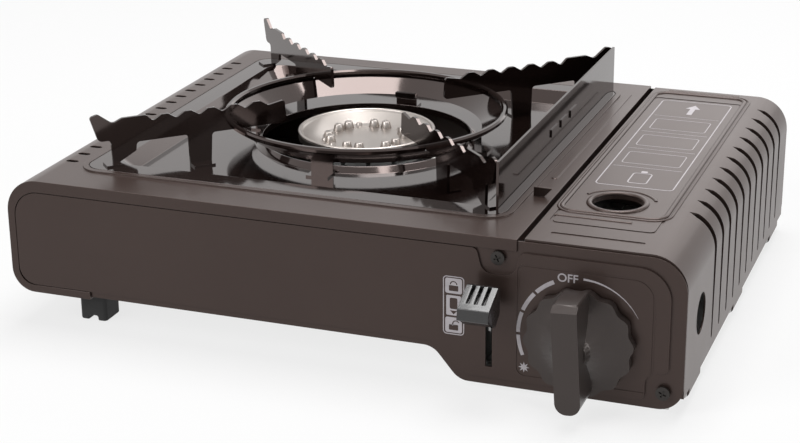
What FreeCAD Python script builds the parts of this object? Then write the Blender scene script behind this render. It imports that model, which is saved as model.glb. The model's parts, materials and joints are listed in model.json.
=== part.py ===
"""Butane cassette stove: pressed steel body, drip tray with pan supports, burner, gas valve and cartridge bay.

Millimetres. X runs to the right, Y to the back, Z up. The sub-parts are drawn about the middle of the body and
moved on export so that the origin lies under the middle of the whole stove, knob included.
"""

import FreeCAD, Part
import math
import os

V = FreeCAD.Vector

# body and sheet
body_width = 346.0
body_depth = 264.0
half_w = body_width / 2
half_d = body_depth / 2
front_y = -half_d
rear_y = half_d
top_z = 78.0
sheet = 0.8
burner_floor_z = 18.0
bay_floor_z = 3.5
shell_corner_r = 17.5
shell_bottom_r = 12.0
flange_top = 6.0
flange_side = 4.0
flange_end_x = -half_w + 44.0
step_left_x = half_w - 120.0
step_right_x = half_w - 107.0
step_r = 10.0
fit_gap = 0.3
run_gap = 0.05

# plates that close the front and the back
panel_emboss = 1.2
field_wall = 0.6
panel_corner_r = 15.0
border_inset = 7.0
screw_r = 2.0
screw_head_r = 3.3
screw_head = 1.3

# drip tray and its recess
tray_x = -32.0
tray_y = 4.0
tray_size = 222.0
tray_rim = 11.0
tray_floor_z = 72.0
tray_wall_run = 6.0
tray_corner_r = 10.0
tray_hole_r = 56.0
tray_lip = 3.0

# wind ring
ring_top_r = 74.2
ring_low_r = 62.0
ring_top_z = 90.0
ring_low_z = 79.0
ring_bead_r = 1.6
ring_sheet = 1.0
ring_leg_width = 12.0

# pan support arms
arm_sheet = 1.6
arm_reach = 152.0
arm_inner = 46.0
arm_under_z = 88.0
arm_peak_z = 101.2
arm_valley_z = 98.4
arm_pitch = 12.5
arm_waves = 6
arm_flat_z = 102.0
arm_tip_z = 105.5
shield_sheet = 1.2

# burner
cap_r = 36.7
cap_rim_z = 77.6
cap_floor_z = 72.5
cap_sheet = 0.8
head_z = 64.0
bowl_r = 30.0
bowl_z = 42.0
bowl_wall = 1.5
tube_r = 8.0
tube_wall = 1.2
pipe_r = 3.0
pipe_bend = 5.0
pipe_rise = 7.0
pipe_corner_x = half_w - 89.0
tube_start = 34.0
nozzle_gap = 6.0

# cover of the cartridge bay
cover_left_x = half_w - 76.0
cover_low_z = 9.7
cover_corner_r = 17.0
slot_count = 11
slot_pitch = 17.55
slot_first_y = front_y + 62.7
slot_width = 5.0
slot_left_x = half_w - 13.5
slot_low_z = 15.0
finger_x = half_w - 48.0
finger_y = front_y + 63.0
finger_r = 12.5
port_y = front_y + 33.6
port_z = 39.5
port_r = 10.0
hinge_x = half_w - 2.7
hinge_z = 7.5
hinge_pin_r = 1.5
ear_reach = 1.85
knuckle_r = 2.7
knuckle_length = 24.0
knuckle_ys = (27.0 - half_d, 0.0, half_d - 27.0)

# gas valve and knob
dial_x = half_w - 48.0
dial_z = 33.0
knob_reach = 26.0
knob_disc_r = 26.0
knob_disc = 4.5
knob_gap = 1.0
knob_hub_r = 15.0
knob_waves = 14
knob_wave_depth = 1.7
grip_width = 12.0
grip_half = 26.0
knob_rest_turn = 3.5
stem_r = 3.0
valve_width = 34.0
valve_depth = 22.0
valve_height = 30.0
valve_front_gap = 6.0

# cartridge bay
cartridge_x = half_w - 38.5
cartridge_z = 40.5
seat_y = front_y + 54.0
cartridge_length = 184.0
regulator_r = 24.0
partition_x = half_w - 101.0
lead_r = 1.3
lead_z = 63.0
lead_low_z = 30.0
electrode_angle = -5.0
travel = 8.0

# lock lever
lever_x = half_w - 92.0
lever_sheet = 1.6
lever_pivot_y = front_y + 32.0
lever_pivot_z = 30.0
lever_turn = 28.0
lever_slot_low = 13.0
lever_slot_high = 53.0
lever_pin_r = 2.0
thumb_width = 15.0
thumb_back_y = front_y - 7.0
thumb_front_y = front_y - 25.0

# details of the top plate
bead_y = 33.0
bead_length = 156.0
bead_width = 3.0
tab_y = -72.0

# vents and feet
vent_count = 17
vent_pitch = 12.34
vent_x = -half_w + 18.7
vent_first_y = front_y + 34.7
vent_length = 7.0
vent_width = 3.0
foot_x = -half_w + 36.5
foot_y = half_d - 22.0
foot_width = 15.0
pad_x = half_w - 21.0
pad_r = 8.0

# places worked out from the sizes above
plate_front_y = front_y + panel_emboss
plate_rear_y = rear_y - panel_emboss
bay_top_z = bay_floor_z + sheet
base_top_z = burner_floor_z + 2 * sheet
lever_sweep = math.radians(lever_turn)
crank_length = travel / (2 * math.sin(lever_sweep / 2))
pipe_y = front_y + valve_front_gap + valve_depth / 2
pipe_z = dial_z + valve_height / 2 + pipe_rise
lead_y = seat_y + 18
origin_shift = V(0, (knob_reach - screw_head) / 2, 0)

# edges and places that follow from the sizes above
top_plate_right = half_w - 79.0
front_screws = [(half_w - 87.8, 68.3), (half_w - 9.1, 12.5)]
rear_screws = [(half_w - 87.8, 68.3), (half_w - 9.1, 12.5), (-half_w + 23.0, 26.0)]
cover_front_y = plate_front_y + sheet + fit_gap
cover_rear_y = plate_rear_y - sheet - fit_gap
bracket_x = half_w - 96.4


def place(plane, u, v, w):
    if plane == "XY":
        return V(u, v, w)
    if plane == "XZ":
        return V(u, w, v)
    return V(w, u, v)


def normal(plane, depth):
    return place(plane, 0, 0, depth)


def rounded_wire(plane, corners, w, closed=True):
    """Outline through corners (u, v, radius) in a plane at height w, each corner an arc of its radius."""
    edges = []
    count = len(corners)
    starts = []
    ends = []
    mids = []
    for i in range(count):
        u, v, r = corners[i]
        here = place(plane, u, v, w)
        if r <= 0 or (not closed and i in (0, count - 1)):
            starts.append(here)
            ends.append(here)
            mids.append(None)
            continue
        before = place(plane, corners[i - 1][0], corners[i - 1][1], w) - here
        after = place(plane, corners[(i + 1) % count][0], corners[(i + 1) % count][1], w) - here
        before.normalize()
        after.normalize()
        half = before.getAngle(after) / 2
        reach = r / math.tan(half)
        middle = before + after
        middle.normalize()
        starts.append(here + before * reach)
        ends.append(here + after * reach)
        mids.append(here + middle * (r / math.sin(half) - r))
    for i in range(count):
        if mids[i] is not None:
            edges.append(Part.Arc(starts[i], mids[i], ends[i]).toShape())
        last = i == count - 1
        if last and not closed:
            continue
        follow = starts[(i + 1) % count]
        if ends[i].distanceToPoint(follow) > 1e-6:
            edges.append(Part.LineSegment(ends[i], follow).toShape())
    return Part.Wire(edges)


def plate(plane, corners, w, depth):
    return Part.Face(rounded_wire(plane, corners, w)).extrude(normal(plane, depth))


def rounded_box(cx, cy, size_x, size_y, r, z, depth):
    x0, x1 = cx - size_x / 2, cx + size_x / 2
    y0, y1 = cy - size_y / 2, cy + size_y / 2
    return plate("XY", [(x0, y0, r), (x1, y0, r), (x1, y1, r), (x0, y1, r)], z, depth)


def box(x0, x1, y0, y1, z0, z1):
    return Part.makeBox(x1 - x0, y1 - y0, z1 - z0, V(x0, y0, z0))


def slot_hole(cx, cy, length, width, z, depth):
    """Tool for a slot with bevelled ends, along X."""
    a, b, c = length / 2, width / 2, width / 4
    right = [(a - b, -b, 0), (a - c / 2, -c, 0), (a, 0, 0), (a - c / 2, c, 0), (a - b, b, 0)]
    left = [(-u, v, r) for u, v, r in reversed(right)]
    corners = [(cx + u, cy + v, r) for u, v, r in right + left]
    return plate("XY", corners, z, depth)


def rod(x, y, z, direction, r, length):
    return Part.makeCylinder(r, length, V(x, y, z), direction)


def turned(points, centre, axis=V(0, 0, 1)):
    """Solid of revolution about a vertical axis through centre, from corners (radius, height, corner radius)."""
    wire = rounded_wire("XZ", points, 0)
    solid = Part.Face(wire).revolve(V(0, 0, 0), V(0, 0, 1), 360)
    if axis != V(0, 0, 1):
        solid.Placement = FreeCAD.Placement(V(0, 0, 0), FreeCAD.Rotation(V(0, 0, 1), axis))
        solid = solid.copy()
    solid.translate(centre)
    return solid


def fuse(shapes):
    solid = shapes[0].multiFuse(shapes[1:])
    return solid.removeSplitter()


def cut(solid, tools):
    return solid.cut(tools)


def save(name, shape):
    moved = shape.copy()
    moved.translate(origin_shift)
    moved.exportStep("parts/" + name + ".step")


def shell_profile(inset):
    """Corners of the shell's section, from the top plate's right end round the left wall to the bottom flange."""
    left = -half_w + inset
    top = top_z - inset
    low = burner_floor_z + inset
    top_r = shell_corner_r - inset
    low_r = shell_bottom_r - inset
    return [(top_plate_right, top, 0), (left, top, top_r), (left, low, low_r), (flange_end_x, low, 0)]


def shell_sheet():
    outer = shell_profile(0)
    inner = shell_profile(sheet)
    inner.reverse()
    corners = outer + inner
    return plate("XZ", corners, front_y, body_depth)


def end_frame(y):
    """Flange turned in round the shell's open end, where a panel is seated."""
    outer = shell_profile(0)
    low_left = -half_w + flange_side
    low_z = burner_floor_z + flange_side
    high_z = top_z - flange_top
    low_r = shell_bottom_r - flange_side
    top_r = shell_corner_r - flange_side
    inner = [(flange_end_x, low_z, 0), (low_left, low_z, low_r), (low_left, high_z, top_r),
             (top_plate_right, high_z, 0)]
    return plate("XZ", outer + inner, y, panel_emboss)


def vents():
    slots = []
    for i in range(vent_count):
        y = vent_first_y + i * vent_pitch
        slots.append(slot_hole(vent_x, y, vent_length, vent_width, top_z - 2, 4))
    return slots


def body_shell():
    body = fuse([shell_sheet(), end_frame(front_y), end_frame(rear_y - panel_emboss), recess_bead(),
                 top_turn_down(), top_bead(), tray_tab()])
    opening = tray_size - 2 * tray_rim + 2 * fit_gap + 2 * sheet
    hole = rounded_box(tray_x, tray_y, opening, opening, tray_corner_r + sheet, top_z - 2, 6)
    return cut(body, [hole] + vents())


def recess_bead():
    """Low bead pressed up round the tray's seat."""
    size = tray_size + 2 * fit_gap
    width = 3.0
    rise = 0.8
    outer = rounded_box(tray_x, tray_y, size + 2 * width, size + 2 * width, tray_corner_r + width,
                        top_z - 0.2, rise + 0.2)
    inner = rounded_box(tray_x, tray_y, size, size, tray_corner_r, top_z - 1, 4)
    return outer.cut(inner)


def top_bead():
    """Stiffening bead pressed up between the tray and the cover."""
    x = (tray_x + tray_size / 2 + top_plate_right) / 2
    return rounded_box(x, bead_y, bead_width, bead_length, bead_width / 2 - 0.1, top_z - 0.2, 0.7)


def tray_tab():
    """Small tongue lanced up from the top plate beside the heat shield."""
    return plate("XZ", [(84.0, top_z - 0.4, 0), (89.0, top_z - 0.4, 0), (93.5, top_z + 4.6, 0),
                        (84.0, top_z + 4.6, 0)], tab_y, sheet)


def top_turn_down():
    depth = 5.0
    return box(top_plate_right - sheet, top_plate_right, cover_front_y, cover_rear_y, top_z - depth, top_z)


def panel_outline(inset):
    """Outline of the front and rear plates, which close both the burner bay and the deeper cartridge bay."""
    left = -half_w + sheet + fit_gap + inset
    right = half_w - inset
    top = top_z - sheet - fit_gap - inset
    low = burner_floor_z + sheet + fit_gap + inset
    deep = bay_floor_z + inset
    r = shell_corner_r - sheet - inset / 2
    return [(left, low, shell_bottom_r - inset / 2), (step_left_x + inset / 2, low, step_r),
            (step_right_x + inset / 2, deep, step_r), (right, deep, 12), (right, top, r), (left, top, r)]


def panel_field():
    """Raised middle of the front plate, drawn back round its two screws."""
    top = top_z - flange_top - fit_gap
    left = -half_w + flange_side + fit_gap
    low = burner_floor_z + flange_side + fit_gap
    right = half_w - border_inset
    deep = bay_floor_z + flange_side
    dip = 8.5
    x1 = front_screws[0][0]
    z1 = front_screws[0][1]
    x2 = front_screws[1][0]
    z2 = front_screws[1][1]
    return [(left, low, 9), (step_left_x + 2, low, step_r), (step_right_x + 2, deep, step_r),
            (x2 - dip, deep, 3), (x2 - dip, z2 + dip, 6), (right, z2 + dip + 1, 3),
            (right, top, panel_corner_r), (x1 + dip + 2, top, 3), (x1 + dip - 1, z1 - dip, 6),
            (x1 - dip + 1, z1 - dip, 6), (x1 - dip - 2, top, 3),
            (left, top, shell_corner_r - flange_side)]


def pressed(outline, field, face_y, outward):
    """Plate with its field pressed outward by one sheet, hollow behind like a real pressing."""
    back = plate("XZ", outline, face_y, sheet * -outward)
    raised = plate("XZ", field, face_y, panel_emboss * outward)
    shrink = Part.Face(rounded_wire("XZ", field, face_y)).makeOffset2D(-field_wall)
    pocket = shrink.extrude(V(0, (sheet + 1) * -outward, 0))
    pocket.translate(V(0, 0.1 * -outward, 0))
    return back.fuse(raised).cut(pocket).removeSplitter()


def front_panel():
    body = pressed(panel_outline(0), panel_field(), plate_front_y, -1)
    slot = box(lever_x - 1.6, lever_x + 1.6, front_y - 1, front_y + 4, lever_slot_low, lever_slot_high)
    shaft = rod(dial_x, front_y - 2, dial_z, V(0, 1, 0), stem_r + 2, 6)
    holes = [rod(x, front_y - 2, z, V(0, 1, 0), screw_r, 6) for x, z in front_screws]
    dial = dial_groove()
    return cut(body, [slot, shaft, dial] + holes)


def dial_groove():
    """Shallow step pressed round the dial."""
    left, right = dial_x - 30.5, dial_x + 34.0
    low, high = dial_z - 22.0, dial_z + 33.5
    depth = 0.35
    width = 1.0
    outer = [(left, low, 4), (right, low, 4), (right, high, 10), (left, high, 4)]
    inner = [(left + width, low + width, 3), (right - width, low + width, 3),
             (right - width, high - width, 9), (left + width, high - width, 3)]
    ring = plate("XZ", outer, front_y - 1, 1 + depth).cut(plate("XZ", inner, front_y - 2, 4))
    return ring


def rear_panel():
    body = pressed(panel_outline(0), panel_field(), plate_rear_y, 1)
    holes = [rod(x, rear_y - 4, z, V(0, 1, 0), screw_r, 6) for x, z in rear_screws]
    return cut(body, holes)


def panel_screw(x, z, face_y, outward):
    head = Part.makeCone(screw_head_r, screw_head_r * 0.75, screw_head, V(x, face_y, z), V(0, outward, 0))
    shank = Part.makeCylinder(screw_r - run_gap, 6, V(x, face_y, z), V(0, -outward, 0))
    return head.fuse(shank)


def base_plate():
    """Bottom sheet, stepped down from the burner bay to the cartridge bay."""
    low = burner_floor_z + sheet
    deep = bay_floor_z
    end = hinge_x - 4.0
    left = -half_w + shell_bottom_r + 4
    under = [(left, low, 0), (step_left_x, low, step_r), (step_right_x, deep, step_r), (end, deep, 0)]
    over = [(end, deep + sheet, 0), (step_right_x, deep + sheet, step_r - sheet / 2),
            (step_left_x, low + sheet, step_r + sheet / 2),
            (left, low + sheet, 0)]
    y0 = plate_front_y + sheet
    y1 = plate_rear_y - sheet
    body = plate("XZ", under + over, y0, y1 - y0)
    intake = []
    for i in range(5):
        x = tray_x - 60 + i * 30
        intake.append(slot_hole(x, tray_y - 70, 16, 5, burner_floor_z, 4))
        intake.append(slot_hole(x, tray_y + 70, 16, 5, burner_floor_z, 4))
    return cut(body, intake)


def hinge_brackets():
    """Ears on the bay floor that hold the cover's hinge pin, one at each end of each knuckle."""
    ears = []
    thick = 1.6
    for y in knuckle_ys:
        for side in (-1, 1):
            inner = y + side * (knuckle_length / 2 + fit_gap)
            start = min(inner, inner + side * thick)
            ear = plate("XZ", [(hinge_x - 12, bay_top_z, 0), (hinge_x - 4.0, bay_top_z, 0),
                               (hinge_x + ear_reach, hinge_z - 2.0, 1.2),
                               (hinge_x + ear_reach, hinge_z + 2.0, 1.2),
                               (hinge_x - 2.2, hinge_z + 2.0, 0), (hinge_x - 5, bay_top_z + 1.6, 0),
                               (hinge_x - 12, bay_top_z + 1.0, 0)], start, thick)
            hole = rod(hinge_x, start - 1, hinge_z, V(0, 1, 0), hinge_pin_r, thick + 2)
            ears.append(ear.cut(hole))
    return Part.makeCompound(ears)


def cover_hinge_pin():
    end = knuckle_ys[-1] + knuckle_length / 2 + 4
    return rod(hinge_x, -end, hinge_z, V(0, 1, 0), hinge_pin_r, 2 * end)


def cover_profile(inset):
    right = half_w - inset
    top = top_z - inset
    return [(cover_left_x, top, 0), (right, top, cover_corner_r - inset), (right, cover_low_z, 0)]


def cover_slots():
    """Leaf-ended slots that wrap over the cover's corner and run down its wall."""
    tools = []
    for i in range(slot_count):
        y = slot_first_y + i * slot_pitch
        half = slot_width / 2
        bend_z = top_z - cover_corner_r
        top_cut = plate("XY", [(slot_left_x, y, 0), (slot_left_x + 4, y - half, 0), (half_w + 2, y - half, 0),
                               (half_w + 2, y + half, 0), (slot_left_x + 4, y + half, 0)],
                        bend_z, cover_corner_r + 2)
        side_cut = plate("YZ", [(y - half, bend_z, 0), (y - half / 2, slot_low_z + 1, 0), (y, slot_low_z, 0),
                                (y + half / 2, slot_low_z + 1, 0), (y + half, bend_z, 0)], half_w - 6, 12)
        tools.append(top_cut)
        tools.append(side_cut)
    return tools


def cover_louvres():
    """Lip pressed inward along the rear edge of each slot."""
    lips = []
    depth = 2.2
    for i in range(slot_count):
        y = slot_first_y + i * slot_pitch + slot_width / 2
        bite = sheet * 0.5
        start = half_w - cover_corner_r - 0.5
        outer = [(start, top_z - bite, 0), (half_w - bite, top_z - bite, cover_corner_r - bite),
                 (half_w - bite, slot_low_z + 4, 0)]
        inner = [(half_w - depth, slot_low_z + 6, 0),
                 (half_w - depth, top_z - depth, cover_corner_r - depth), (start, top_z - depth, 0)]
        lips.append(plate("XZ", outer + inner, y, sheet))
    return lips


def cover_skirts():
    """Turned-down ends of the cover."""
    depth = 5.0
    outer = cover_profile(0)
    right = half_w - depth
    inner = [(right, cover_low_z, 0), (right, top_z - depth, cover_corner_r - depth),
             (cover_left_x, top_z - depth, 0)]
    front = plate("XZ", outer + inner, cover_front_y, sheet)
    rear = plate("XZ", outer + inner, cover_rear_y - sheet, sheet)
    return [front, rear]


def cover_knuckles():
    pieces = []
    for y in knuckle_ys:
        start = y - knuckle_length / 2
        pieces.append(rod(hinge_x, start, hinge_z, V(0, 1, 0), knuckle_r, knuckle_length))
        pieces.append(box(half_w - sheet, half_w, start, start + knuckle_length, hinge_z, cover_low_z + 2))
    return pieces


def cartridge_cover():
    inner = cover_profile(sheet)
    inner.reverse()
    body = plate("XZ", cover_profile(0) + inner, cover_front_y, cover_rear_y - cover_front_y)
    lip = box(cover_left_x, cover_left_x + sheet, cover_front_y, cover_rear_y, top_z - 6, top_z)
    rolled = turned([(finger_r, -2.5, 0), (finger_r + sheet, -2.5, 0), (finger_r + sheet, 0.6, 0.4),
                     (finger_r, 0.6, 0.3)], V(finger_x, finger_y, top_z))
    body = fuse([body, lip, rolled] + cover_skirts() + cover_knuckles())
    body = cut(body, cover_slots())
    body = body.multiFuse(cover_louvres())
    finger = rod(finger_x, finger_y, top_z - 4, V(0, 0, 1), finger_r, 8)
    port = rod(half_w - 4, port_y, port_z, V(1, 0, 0), port_r, 8)
    bore = rod(hinge_x, cover_front_y, hinge_z, V(0, 1, 0), hinge_pin_r + run_gap, body_depth)
    return cut(body, [finger, port, bore] + cover_grooves())


def cover_grooves():
    """Shallow border groove pressed round the cover's flat top."""
    depth = 0.35
    width = 1.4
    x0, x1, y0, y1 = 100.5, 152.0, -104.5, 111.0
    outer = plate("XY", [(x0, y0, 4), (x1, y0, 4), (x1, y1, 4), (x0, y1, 4)], top_z - depth, 1)
    inner = plate("XY", [(x0 + width, y0 + width, 3), (x1 - width, y0 + width, 3),
                         (x1 - width, y1 - width, 3), (x0 + width, y1 - width, 3)], top_z - 1, 3)
    front = rounded_box(128, -118, 44, 2.4, 1.1, top_z - depth, 1)
    rear = rounded_box(128, 121, 44, 2.4, 1.1, top_z - depth, 1)
    return [outer.cut(inner), front, rear]


def partition():
    """Wall between the burner bay and the cartridge bay."""
    x = partition_x
    y0 = plate_front_y + sheet + fit_gap
    y1 = plate_rear_y - sheet - fit_gap
    wall = box(x, x + sheet, y0, y1, bay_top_z, top_z - sheet)
    foot = box(x, x + 10, y0, y1, bay_top_z, bay_top_z + sheet)
    head = box(x, x + 8, y0, y1, top_z - 2 * sheet, top_z - sheet)
    corner, way = tube_axis()
    pipe_hole_y = corner.y + (corner.x - x) / -way.x * way.y
    pipe = rod(x - 2, pipe_hole_y, pipe_z, V(1, 0, 0), pipe_r + 2.5, 6)
    lead = rod(x - 2, lead_y, lead_z, V(1, 0, 0), lead_r + fit_gap, 6)
    return cut(fuse([wall, foot, head]), [pipe, lead])


def drip_tray():
    """Enamelled square tray: flat rim, sloping wall, floor with a raised lip round the burner."""
    open_top = tray_size - 2 * tray_rim
    open_low = open_top - 2 * tray_wall_run
    rim = rounded_box(tray_x, tray_y, tray_size, tray_size, tray_corner_r, top_z, sheet)
    wall_outer = tub(open_top, open_low, tray_floor_z - sheet, top_z)
    wall_inner = tub(open_top - 2 * sheet, open_low - 2 * sheet, tray_floor_z, top_z + sheet)
    body = rim.fuse(wall_outer).cut(wall_inner)
    lip = turned([(tray_hole_r, tray_floor_z - sheet, 0), (tray_hole_r + 4, tray_floor_z - sheet, 0),
                  (tray_hole_r + 4, tray_floor_z, 0), (tray_hole_r + sheet, tray_floor_z + tray_lip, 0),
                  (tray_hole_r, tray_floor_z + tray_lip, 0)], V(tray_x, tray_y, 0))
    hole = rod(tray_x, tray_y, tray_floor_z - 4, V(0, 0, 1), tray_hole_r, 12)
    return body.fuse(lip).cut(hole).removeSplitter()


def tub(top_size, low_size, low, high):
    wires = []
    for size, z, r in ((low_size, low, tray_corner_r - 2), (top_size, high, tray_corner_r)):
        h = size / 2
        corners = [(tray_x - h, tray_y - h, r), (tray_x + h, tray_y - h, r),
                   (tray_x + h, tray_y + h, r), (tray_x - h, tray_y + h, r)]
        wires.append(rounded_wire("XY", corners, z))
    return Part.makeLoft(wires, True, True)


def wind_ring():
    """Conical band with a rolled top edge, cut to let the arms through, on four bent legs."""
    centre = V(tray_x, tray_y, 0)
    bead_z = ring_top_z - ring_bead_r
    half = ring_sheet / 2
    bevel = ring_bead_r * 0.45
    band = turned([(ring_low_r, ring_low_z, 0), (ring_low_r + ring_sheet, ring_low_z, 0),
                   (ring_top_r + half, bead_z - ring_bead_r, 0), (ring_top_r + ring_bead_r, bead_z - bevel, 0),
                   (ring_top_r + ring_bead_r, bead_z + bevel, 0), (ring_top_r + bevel, ring_top_z, 0),
                   (ring_top_r - bevel, ring_top_z, 0), (ring_top_r - ring_bead_r, bead_z + bevel, 0),
                   (ring_top_r - ring_bead_r, bead_z - bevel, 0), (ring_top_r - half, bead_z - ring_bead_r, 0)],
                  centre)
    pieces = [band]
    for i in range(4):
        leg = box(ring_low_r - 2, ring_low_r + ring_sheet, -ring_leg_width / 2, ring_leg_width / 2,
                  tray_floor_z, ring_low_z + 1.5)
        foot = box(ring_low_r - 2, ring_low_r + 8, -ring_leg_width / 2, ring_leg_width / 2,
                   tray_floor_z, tray_floor_z + ring_sheet)
        hollow = box(ring_low_r - 3, ring_low_r, -ring_leg_width, ring_leg_width,
                     tray_floor_z + ring_sheet, ring_low_z - ring_sheet)
        leg = leg.fuse(foot).cut(hollow)
        leg.rotate(V(0, 0, 0), V(0, 0, 1), 90 * i)
        leg.translate(centre)
        pieces.append(leg)
    body = fuse(pieces)
    gates = []
    for angle in (45, 135, 225, 315):
        gate = box(ring_low_r - 10, ring_top_r + 10, -arm_sheet / 2 - 0.1, arm_sheet / 2 + 0.1,
                   arm_under_z - 1, ring_top_z + 10)
        gate.rotate(V(0, 0, 0), V(0, 0, 1), angle)
        gate.translate(centre)
        gates.append(gate)
    return cut(body, gates)


def arm_outline():
    """Side view of a pan support arm: wavy top edge, raised tip, two legs with arches between."""
    rim_z = top_z + sheet
    top = [(arm_inner, arm_under_z, 2), (arm_inner + 1, arm_peak_z - 1, 1.5)]
    for i in range(arm_waves):
        valley = arm_inner + 10.2 + i * arm_pitch
        top.append((valley, arm_valley_z, 1.6))
        if i < arm_waves - 1:
            top.append((valley + arm_pitch * 0.36, arm_peak_z, 2.2))
            top.append((valley + arm_pitch * 0.64, arm_peak_z, 2.2))
    top += [(122.5, arm_flat_z, 2.5), (135.0, arm_flat_z, 3), (140.0, arm_flat_z - 2.2, 3),
            (147.5, arm_tip_z, 2.2), (arm_reach, arm_tip_z - 1.2, 1.5)]
    under = [(arm_reach - 4, 91.0, 3), (141.5, 91.0, 2), (141.0, rim_z, 0), (138.0, rim_z, 0), (128.5, 84.0, 1),
             (128.0, arm_under_z + 0.5, 2), (100.5, arm_under_z + 0.5, 2), (100.0, tray_floor_z, 0),
             (88.5, tray_floor_z, 0), (87.5, arm_under_z, 2)]
    return top + under


def arm(angle):
    solid = plate("XZ", arm_outline(), -arm_sheet / 2, arm_sheet)
    foot = box(88.5, 100.0, -arm_sheet / 2, 7, tray_floor_z, tray_floor_z + 1)
    outer_foot = box(138.0, 146.0, -arm_sheet / 2, 7, top_z + sheet, top_z + sheet + 1)
    solid = fuse([solid, foot, outer_foot])
    solid.rotate(V(0, 0, 0), V(0, 0, 1), angle)
    solid.translate(V(tray_x, tray_y, 0))
    return solid


def heat_shield():
    """One strip bent in a U: front right arm, shield plate, rear right arm."""
    reach = (arm_reach + 1.5) * math.sin(math.radians(45))
    x = tray_x + reach
    y0 = tray_y - reach
    y1 = tray_y + reach
    low = top_z + sheet
    wall = box(x - shield_sheet, x, y0, y1, low, arm_tip_z - 1.0)
    ribs = []
    for i in range(3):
        ribs.append(box(x - 0.1, x + 0.7, tray_y - 21 + i * 18, tray_y - 9 + i * 18, 90, 94))
    return fuse([arm(45), arm(-45), wall] + ribs)


def burner_cap():
    """Stainless dish with a rolled rim and small raised port bumps in four pairs."""
    dish = turned([(0, cap_floor_z - cap_sheet, 0), (24, cap_floor_z - cap_sheet, 0),
                   (cap_r - 1.5, cap_rim_z - 4, 0), (cap_r, cap_rim_z - 4, 0), (cap_r, cap_rim_z - 0.9, 0),
                   (cap_r - 0.8, cap_rim_z, 0), (cap_r - 1.8, cap_rim_z, 0), (cap_r - 2.6, cap_rim_z - 0.8, 0),
                   (24, cap_floor_z + 0.6, 0), (21, cap_floor_z, 0), (0, cap_floor_z, 0)],
                  V(tray_x, tray_y, 0))
    bumps = []
    bump_r = 2.2
    ring_r = 0.62 * cap_r
    for quarter in range(4):
        for side in (-1, 1):
            angle = math.radians(90 * quarter + 45 + side * 13)
            spot = V(tray_x + ring_r * math.cos(angle), tray_y + ring_r * math.sin(angle), cap_floor_z - 0.3)
            bumps.append(Part.makeCone(bump_r, bump_r * 0.55, 1.9, spot, V(0, 0, 1)))
    return fuse([dish] + bumps)


def burner_head():
    """Cast crown under the cap, with a ring of flame ports."""
    under = cap_floor_z - cap_sheet
    body = turned([(20, head_z, 0), (bowl_r, head_z, 0), (cap_r - 2, head_z + 4, 0), (cap_r - 2, under - 1.5, 0),
                   (26, under - 1.5, 0), (26, under, 0), (20, under, 0)], V(tray_x, tray_y, 0))
    ports = []
    count = 16
    for i in range(count):
        port = box(22, cap_r + 2, -1.1, 1.1, under - 4.5, under - 1.0)
        port.rotate(V(0, 0, 0), V(0, 0, 1), i * 360.0 / count)
        port.translate(V(tray_x, tray_y, 0))
        ports.append(port)
    return cut(body, ports)


def burner_bowl():
    """Mixing bowl below the head, open on the side where the tube comes in."""
    body = turned([(0, bowl_z, 0), (bowl_r - 6, bowl_z, 0), (bowl_r, bowl_z + 6, 0), (bowl_r, head_z, 0),
                   (bowl_r - bowl_wall, head_z, 0), (bowl_r - bowl_wall, bowl_z + 6.5, 0),
                   (bowl_r - 6 - bowl_wall / 2, bowl_z + bowl_wall, 0), (0, bowl_z + bowl_wall, 0)],
                  V(tray_x, tray_y, 0))
    return body.cut(tube_body(tube_r))


def tube_axis():
    corner = V(pipe_corner_x, pipe_y, pipe_z)
    way = V(tray_x, tray_y, pipe_z) - corner
    way.normalize()
    return corner, way


def tube_points():
    corner, way = tube_axis()
    start = corner + way * tube_start
    return start, way, start.distanceToPoint(V(tray_x, tray_y, pipe_z))


def tube_body(r):
    start, way, length = tube_points()
    return Part.makeCylinder(r, length - bowl_r + 4, start, way)


def mixing_tube():
    """Tube that draws in air beside the nozzle and feeds the bowl, with a flared mouth and two air windows."""
    start, way, length = tube_points()
    flare = Part.makeCone(tube_r + 2.0, tube_r, 8, start, way)
    body = flare.fuse(tube_body(tube_r))
    hollow = Part.makeCylinder(tube_r - tube_wall, length, start - way * 2, way)
    window = Part.makeCylinder(4.0, 3 * tube_r, start + way * 18 - V(0, 0, 1.5 * tube_r), V(0, 0, 1))
    return body.cut([hollow, window])


def gas_pipe():
    """Bent pipe from the valve through the partition to the nozzle at the tube's mouth."""
    start, way, _ = tube_points()
    corner, _ = tube_axis()
    foot = V(dial_x - valve_width / 4, pipe_y, pipe_z - pipe_rise)
    return bent_rod([foot, V(foot.x, pipe_y, pipe_z), corner, start - way * nozzle_gap], pipe_r, pipe_bend)


def bent_rod(points, r, bend_r):
    """Round rod through points: straight runs joined by tangent bends of radius bend_r."""
    pieces = []
    at = points[0]
    for i in range(1, len(points) - 1):
        back = points[i - 1] - points[i]
        on = points[i + 1] - points[i]
        back.normalize()
        on.normalize()
        half = back.getAngle(on) / 2
        reach = bend_r / math.tan(half)
        middle = back + on
        middle.normalize()
        first = points[i] + back * reach
        centre = points[i] + middle * (bend_r / math.sin(half))
        pieces.append(Part.makeCylinder(r, at.distanceToPoint(first), at, back * -1))
        ring = Part.Face(Part.Wire([Part.Circle(first, back, r).toShape()]))
        axis = back.cross(middle)
        pieces.append(ring.revolve(centre, axis, -math.degrees(math.pi - 2 * half)))
        at = points[i] + on * reach
    way = points[-1] - at
    pieces.append(Part.makeCylinder(r, way.Length, at, way))
    return pieces[0].multiFuse(pieces[1:])


def gas_nozzle():
    """Brass jet on the pipe's end."""
    start, way, _ = tube_points()
    hexagon = Part.makeCylinder(4.2, 5, start - way * nozzle_gap, way)
    tip = Part.makeCone(3.0, 1.6, 4, start - way * (nozzle_gap - 5), way)
    return hexagon.fuse(tip)


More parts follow.
